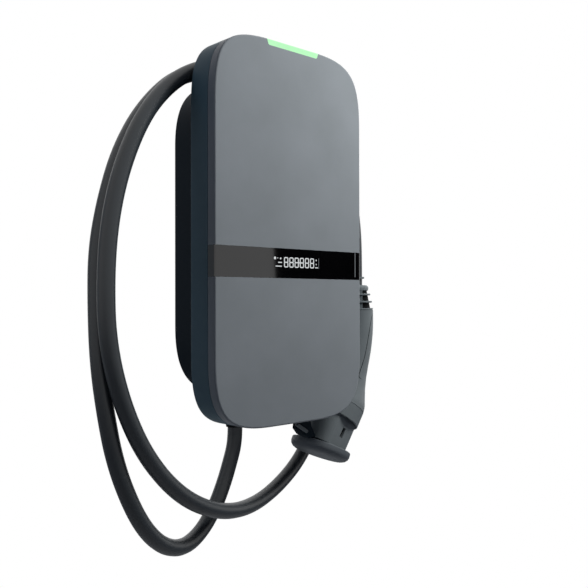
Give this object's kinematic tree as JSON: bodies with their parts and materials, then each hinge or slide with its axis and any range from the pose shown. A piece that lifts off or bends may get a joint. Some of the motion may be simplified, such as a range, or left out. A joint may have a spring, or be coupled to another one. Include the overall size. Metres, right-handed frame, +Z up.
{
  "type": "electric vehicle wall charger",
  "caption": "Wall-mounted electric car charging box with a display band, a charging cable wound on its rear drum and the connector parked in a cup below.",
  "frame": {"origin": "on the wall plane, in the middle of the four wall-screw holes of the wall plate", "axes": "+X to the right of someone facing the box, +Y into the wall, +Z up"},
  "size_m": [0.3897, 0.108, 0.5276],
  "materials": {
    "anthracite_cover": "fine satin grain",
    "anthracite_housing": "fine grain",
    "black_drum": "matt",
    "gloss_black": "polished",
    "light_diffuser": "milky",
    "led": "clear",
    "display_module": "smooth",
    "circuit_board": "lacquered",
    "copper": "lacquered wire",
    "contact_silver": "silver-plated",
    "screw_steel": "zinc-plated",
    "plate_steel": "galvanised",
    "core_steel": "laminated",
    "relay_black": "smooth",
    "ferrite": "coated core",
    "module_grey": "smooth",
    "lever_orange": "smooth",
    "socket_metal": "tinned",
    "seal_rubber": "matt",
    "cable_sheath": "satin",
    "relief_rubber": "matt",
    "connector_grey": "fine grain",
    "grip_rubber": "soft matt",
    "contact_plastic": "matt",
    "cup_grey": "fine grain"
  },
  "bodies": {
    "wallbox": {"board_screws": "screw_steel", "board_spacers": "screw_steel", "boot_core": "relief_rubber", "boot_end_ring": "connector_grey", "cable_clamp_saddle": "black_drum", "cable_clamp_screws": "screw_steel", "cable_clamp_seat": "black_drum", "cable_strain_relief": "relief_rubber", "cable_tail": "cable_sheath", "capacitors": "relay_black", "card_reader_antenna": "copper", "charging_cable": "cable_sheath", "connector_boot": "connector_grey", "connector_cable_tail": "cable_sheath", "connector_collar": "connector_grey", "connector_handle": "connector_grey", "connector_nose": "connector_grey", "contact_carrier": "contact_plastic", "control_board": "circuit_board", "cover_seal": "seal_rubber", "display_band": "gloss_black", "display_board": "circuit_board", "display_screws": "screw_steel", "dock_arm": "black_drum", "dock_cup": "cup_grey", "energy_meter_module": "module_grey", "front_cover": "anthracite_cover", "gland_body": "black_drum", "gland_dome_nut": "black_drum", "gland_locknut": "black_drum", "handle_grip": "grip_rubber", "joint_screws": "screw_steel", "lcd_module": "display_module", "led_board": "circuit_board", "main_housing": "anthracite_housing", "mains_filter_choke": "ferrite", "network_socket": "socket_metal", "nose_seal": "seal_rubber", "plate_lock_screw": "screw_steel", "power_board": "circuit_board", "power_contacts": "contact_silver", "rear_drum": "black_drum", "relay_line_1": "relay_black", "relay_line_2": "relay_black", "relay_line_3": "relay_black", "relay_neutral": "relay_black", "residual_current_sensor": "relay_black", "status_leds": "led", "status_light_guide": "light_diffuser", "supply_grommet": "seal_rubber", "supply_terminal": "module_grey", "terminal_pivot_rod": "screw_steel", "transformer_coil": "copper", "transformer_core": "core_steel", "wall_plate": "plate_steel"},
    "lever_1": {"terminal_lever_1": "lever_orange"},
    "lever_2": {"terminal_lever_2": "lever_orange"},
    "lever_3": {"terminal_lever_3": "lever_orange"},
    "lever_4": {"terminal_lever_4": "lever_orange"},
    "lever_5": {"terminal_lever_5": "lever_orange"}
  },
  "joints": [
    {"name": "terminal_lever_1_hinge", "type": "hinge", "parent": "wallbox", "child": "lever_1", "pos_m": [-0.025, -0.047, -0.0606], "axis": [-1, 0, 0], "range_deg": [0, 75]},
    {"name": "terminal_lever_2_hinge", "type": "hinge", "parent": "wallbox", "child": "lever_2", "pos_m": [-0.014, -0.047, -0.0606], "axis": [-1, 0, 0], "range_deg": [0, 75]},
    {"name": "terminal_lever_3_hinge", "type": "hinge", "parent": "wallbox", "child": "lever_3", "pos_m": [-0.003, -0.047, -0.0606], "axis": [-1, 0, 0], "range_deg": [0, 75]},
    {"name": "terminal_lever_4_hinge", "type": "hinge", "parent": "wallbox", "child": "lever_4", "pos_m": [0.008, -0.047, -0.0606], "axis": [-1, 0, 0], "range_deg": [0, 75]},
    {"name": "terminal_lever_5_hinge", "type": "hinge", "parent": "wallbox", "child": "lever_5", "pos_m": [0.019, -0.047, -0.0606], "axis": [-1, 0, 0], "range_deg": [0, 75]}
  ]
}
